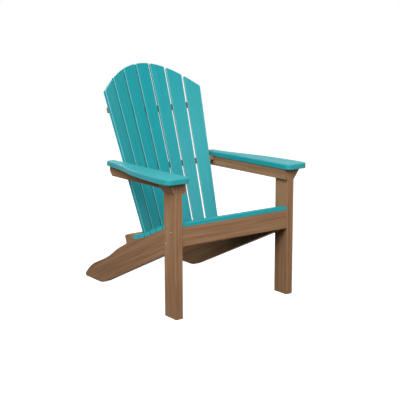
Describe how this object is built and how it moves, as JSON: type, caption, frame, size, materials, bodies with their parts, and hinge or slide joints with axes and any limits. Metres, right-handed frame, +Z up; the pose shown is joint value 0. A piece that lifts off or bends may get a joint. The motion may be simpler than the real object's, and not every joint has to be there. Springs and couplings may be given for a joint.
{
  "type": "adirondack chair",
  "caption": "Rigid adirondack garden chair: fanned slat back in a hollow curve, sloping slat seat, broad flared arms, side boards running back as rear legs.",
  "frame": {"origin": "on the floor, at the middle of the bottom of the chair's bounding box", "axes": "+Z up; -Y is the way a sitter faces, +Y towards the rear feet; +X is on the right of a viewer standing in front of the chair"},
  "size_m": [0.8018, 0.905, 1.08],
  "materials": {
    "teal_board": "satin, with fine streaks along each board",
    "brown_board": "satin, with lighter and darker streaks along each board",
    "stainless_steel": "bright stainless steel"
  },
  "bodies": {
    "root": {"arm_corbel_left": "brown_board", "arm_corbel_right": "brown_board", "arm_left": "teal_board", "arm_rail_left": "brown_board", "arm_rail_right": "brown_board", "arm_rail_screws": "stainless_steel", "arm_right": "teal_board", "arm_screws": "stainless_steel", "back_slat_1": "teal_board", "back_slat_2": "teal_board", "back_slat_3": "teal_board", "back_slat_4": "teal_board", "back_slat_5": "teal_board", "back_slat_6": "teal_board", "back_slat_7": "teal_board", "back_slat_screws": "stainless_steel", "corbel_screws": "stainless_steel", "front_apron": "brown_board", "front_leg_left": "brown_board", "front_leg_right": "brown_board", "leg_bolts": "stainless_steel", "leg_nuts": "stainless_steel", "leg_washers": "stainless_steel", "lower_back_rail": "brown_board", "lower_rail_screws": "stainless_steel", "middle_back_rail": "brown_board", "middle_rail_screws": "stainless_steel", "seat_screws": "stainless_steel", "seat_slat_1": "teal_board", "seat_slat_2": "teal_board", "seat_slat_3": "teal_board", "seat_slat_4": "teal_board", "seat_slat_5": "teal_board", "seat_slat_6": "teal_board", "seat_slat_7": "teal_board", "seat_slat_8": "teal_board", "side_stringer_left": "brown_board", "side_stringer_right": "brown_board", "upper_back_rail": "brown_board"}
  },
  "joints": []
}
